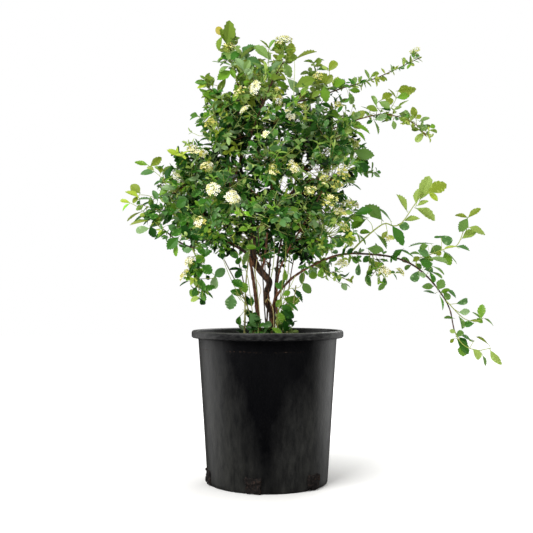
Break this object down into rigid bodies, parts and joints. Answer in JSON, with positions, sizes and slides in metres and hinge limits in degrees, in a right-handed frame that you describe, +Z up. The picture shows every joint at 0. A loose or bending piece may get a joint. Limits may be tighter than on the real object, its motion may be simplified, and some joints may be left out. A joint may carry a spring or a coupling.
{
  "type": "potted spirea shrub",
  "caption": "Loose flowering shrub with a crooked trunk, thin canes and long arching boughs, rooted in a round black nursery pot that stands on its flat underside.",
  "frame": {"origin": "centre of the pot's flat underside, on the ground", "axes": "+Z up along the pot's axis; +X towards the long arching bough; +Y towards the back, so -Y is the best side"},
  "size_m": [0.7364, 0.4149, 0.9128],
  "materials": {
    "pot": "satin black moulded plastic, scuffed along the rim and dusty at the foot",
    "soil": "rough dark potting mix of bark and fibre",
    "bark": "thin rough bark, dark brown to red-brown",
    "green_shoot": "smooth pale straw-green young bark",
    "foliage": "satin leaves, blue-green with yellow-green young tips"
  },
  "bodies": {
    "root": {"pot": "pot", "soil": "soil", "trunk": "bark", "leader": "bark", "right_leader": "bark", "inner_bough": "bark", "left_cane": "bark", "left_bough": "bark", "left_low_bough": "bark", "dark_cane": "bark", "right_cane": "bark", "front_cane": "bark", "back_cane": "bark", "arch_inner": "bark", "arch_outer": "bark", "top_right_bough": "bark", "upper_right_bough": "bark", "pale_shoot": "green_shoot", "thin_shoot": "green_shoot", "straw_shoot": "green_shoot", "top_left_foliage": "foliage", "upper_left_foliage": "foliage", "top_mid_foliage": "foliage", "top_front_foliage": "foliage", "top_back_foliage": "foliage", "top_right_foliage": "foliage", "upper_front_foliage": "foliage", "upper_right_foliage": "foliage", "upper_right_spray_foliage": "foliage", "upper_back_foliage": "foliage", "upper_back_right_foliage": "foliage", "upper_side_right_foliage": "foliage", "upper_side_left_foliage": "foliage", "mid_left_foliage": "foliage", "mid_front_foliage": "foliage", "mid_front_left_foliage": "foliage", "mid_front_right_foliage": "foliage", "mid_right_foliage": "foliage", "mid_back_foliage": "foliage", "mid_back_left_foliage": "foliage", "mid_back_right_foliage": "foliage", "left_wing_foliage": "foliage", "left_tip_foliage": "foliage", "left_front_foliage": "foliage", "left_back_foliage": "foliage", "left_low_foliage": "foliage", "left_droop_foliage": "foliage", "low_front_foliage": "foliage", "low_right_foliage": "foliage", "low_side_right_foliage": "foliage", "low_back_foliage": "foliage", "low_back_right_foliage": "foliage", "arch_skirt_foliage": "foliage", "arch_shoot_foliage": "foliage", "arch_under_foliage": "foliage", "arch_far_shoot_foliage": "foliage", "arch_side_foliage": "foliage", "arch_tip_foliage": "foliage", "foot_right_foliage": "foliage", "foot_left_foliage": "foliage"}
  },
  "joints": []
}
